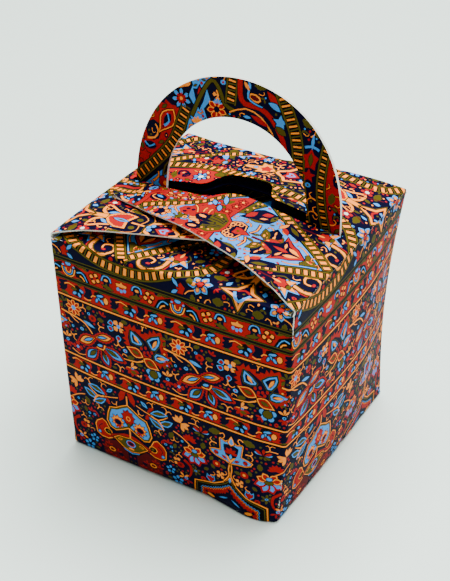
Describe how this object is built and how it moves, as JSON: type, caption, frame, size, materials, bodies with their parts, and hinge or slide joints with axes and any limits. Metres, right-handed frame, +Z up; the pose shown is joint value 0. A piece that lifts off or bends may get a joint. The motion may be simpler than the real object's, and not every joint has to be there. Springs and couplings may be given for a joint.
{
  "type": "favour box",
  "caption": "Folded card favour box with tapering walls, a half-ring carry handle and slotted closing flaps.",
  "frame": {"origin": "centre of the box's underside, on the surface that it stands on", "axes": "+Z up, -Y towards the front wall, +X towards the wall that the closing flap is hinged to"},
  "size_m": [0.09, 0.09, 0.139],
  "materials": {
    "printed_card": "semi-matt print outside, plain white inside"
  },
  "bodies": {
    "box": {"carton": "printed_card"},
    "top_flap": {"closing_flap": "printed_card"}
  },
  "joints": [
    {"name": "closing_flap_fold", "type": "hinge", "parent": "box", "child": "top_flap", "pos_m": [0.045, 0, 0.09005], "axis": [0, 1, 0], "range_deg": [0, 130]}
  ]
}
